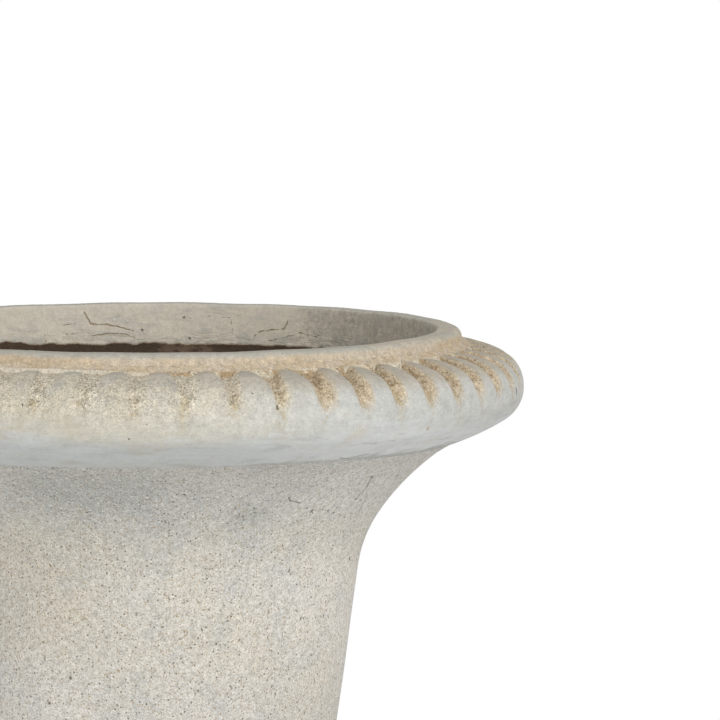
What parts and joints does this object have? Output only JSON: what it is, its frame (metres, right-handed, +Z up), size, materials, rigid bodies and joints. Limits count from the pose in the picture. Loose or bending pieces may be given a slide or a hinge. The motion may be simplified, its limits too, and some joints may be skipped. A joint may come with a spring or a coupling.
{
  "type": "urn planter",
  "caption": "Free-standing urn planter of cast fibre cement: bell-shaped bowl with a rolled, fluted rim and upright lip, on a pedestal and square plinth.",
  "frame": {"origin": "centre of the plinth's underside, on the floor", "axes": "+Z up along the urn's turning axis; +X towards the side with the drain hole; the plinth's sides lie along X and Y"},
  "size_m": [0.5609, 0.5609, 0.6531],
  "materials": {
    "cement": "matte cast fibre cement",
    "mortar": "matte bedding mortar",
    "rubber": "matte",
    "zinc": "zinc plated"
  },
  "bodies": {
    "urn": {"plinth": "cement", "plinth_mortar": "mortar", "pedestal": "cement", "bowl_gasket": "rubber", "bowl_body": "cement", "roll_mortar": "mortar", "rim_roll": "cement", "collar_mortar": "mortar", "rim_collar": "cement", "centre_bolt": "zinc", "bolt_nut": "zinc", "bolt_washers": "zinc"},
    "stopper": {"drain_plug": "rubber"}
  },
  "joints": [
    {"name": "stopper_lift", "type": "slide", "parent": "urn", "child": "stopper", "axis": [0, 0, 1], "range_m": [0, 0.06]}
  ]
}
